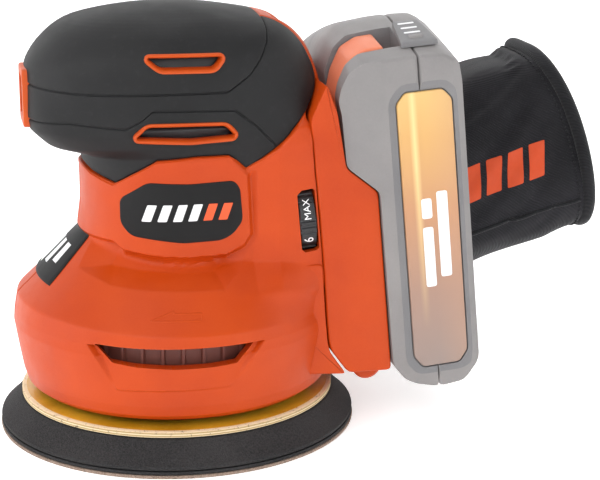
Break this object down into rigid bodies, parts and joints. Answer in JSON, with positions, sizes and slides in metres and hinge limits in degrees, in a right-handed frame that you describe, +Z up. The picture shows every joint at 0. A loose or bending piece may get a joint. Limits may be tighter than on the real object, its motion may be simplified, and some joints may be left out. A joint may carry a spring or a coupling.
{
  "type": "cordless random orbit sander",
  "caption": "Cordless palm sander with a round orbiting pad, clip-on battery, speed wheel, nose switch and a fabric dust bag.",
  "frame": {"origin": "centre of the abrasive face of the pad", "axes": "+Z up along the pad axis, -X to the palm nose, +X to the battery, -Y to the side with the speed wheel"},
  "size_m": [0.2414, 0.162, 0.1471],
  "materials": {
    "orange_shell": "satin moulded nylon, fine spark texture",
    "black_soft": "matt soft overmould",
    "black_plastic": "satin",
    "gold_plate": "satin gold",
    "foam_black": "closed cell foam",
    "abrasive": "abrasive grit on paper",
    "battery_grey": "satin pale grey",
    "battery_amber": "satin amber",
    "steel": "turned",
    "copper": "enamelled winding",
    "board_green": "board lacquer",
    "cell_wrap": "shrink wrap",
    "bag_fabric": "black twill"
  },
  "bodies": {
    "tool": {"shell_left": "orange_shell", "shell_right": "orange_shell", "palm_cushion": "black_soft", "grip_band_left": "black_soft", "grip_band_right": "black_soft", "throat_grip_left": "black_soft", "throat_grip_right": "black_soft", "upper_vent_trim_left": "orange_shell", "upper_vent_trim_right": "orange_shell", "lower_vent_trim_left": "orange_shell", "lower_vent_trim_right": "orange_shell", "rear_spine_trim": "orange_shell", "name_plate_left": "black_plastic", "name_plate_right": "black_plastic", "front_label": "black_plastic", "switch_bezel": "orange_shell", "switch_module": "black_plastic", "rear_housing": "orange_shell", "motor_stator": "copper", "motor_bracket": "black_plastic", "lower_bearing": "steel", "upper_bearing": "steel", "bearing_seat": "black_plastic", "brake_skirt": "black_soft", "speed_pot": "board_green", "control_board": "board_green", "terminal_block": "black_plastic", "dust_duct": "black_plastic", "housing_screw_1": "steel", "housing_screw_2": "steel", "housing_screw_3": "steel"},
    "rotor": {"motor_rotor": "steel", "dust_fan": "black_plastic", "eccentric_weight": "steel"},
    "pad": {"pad_bearing": "steel", "pad_hub": "black_plastic", "backing_plate": "gold_plate", "foam_cushion": "foam_black", "hook_layer": "foam_black", "sanding_disc": "abrasive", "pad_screw": "steel"},
    "rocker": {"switch_rocker": "black_plastic"},
    "dial": {"speed_dial": "black_plastic"},
    "battery": {"battery_tool_case": "battery_grey", "battery_outer_case": "battery_grey", "battery_inlay_left": "battery_amber", "battery_inlay_right": "battery_amber", "battery_board": "board_green", "gauge_panel": "battery_grey", "battery_cell_1": "cell_wrap", "battery_cell_2": "cell_wrap", "battery_cell_3": "cell_wrap", "battery_cell_4": "cell_wrap", "battery_cell_5": "cell_wrap"},
    "latch": {"battery_latch": "orange_shell"},
    "gauge": {"gauge_button": "battery_grey"},
    "bag": {"dust_bag": "bag_fabric", "bag_collar": "black_plastic", "bag_piping": "bag_fabric"}
  },
  "joints": [
    {"name": "motor_spin", "type": "hinge", "parent": "tool", "child": "rotor", "pos_m": [-0.0012, 0, 0.05], "axis": [0, 0, 1], "continuous": true},
    {"name": "pad_spin", "type": "hinge", "parent": "rotor", "child": "pad", "pos_m": [0, 0, 0.012], "axis": [0, 0, 1], "continuous": true},
    {"name": "power_rocker", "type": "hinge", "parent": "tool", "child": "rocker", "pos_m": [-0.0455, 0, 0.117], "axis": [0, 1, 0], "range_deg": [-7, 7]},
    {"name": "speed_dial_turn", "type": "hinge", "parent": "tool", "child": "dial", "pos_m": [0.0398, -0.0226, 0.0772], "axis": [0.9962, 0, 0.0872], "range_deg": [-135, 135]},
    {"name": "battery_slide", "type": "slide", "parent": "tool", "child": "battery", "axis": [-0.0872, 0, 0.9962], "range_m": [0, 0.085]},
    {"name": "latch_press", "type": "slide", "parent": "battery", "child": "latch", "axis": [0.9962, 0, 0.0872], "range_m": [0, 0.003], "stiffness_N_per_m": 400},
    {"name": "gauge_press", "type": "slide", "parent": "battery", "child": "gauge", "axis": [0.0872, 0, -0.9962], "range_m": [0, 0.0008], "stiffness_N_per_m": 400},
    {"name": "bag_slide", "type": "slide", "parent": "tool", "child": "bag", "axis": [0.9537, 0, 0.3007], "range_m": [0, 0.04]}
  ]
}
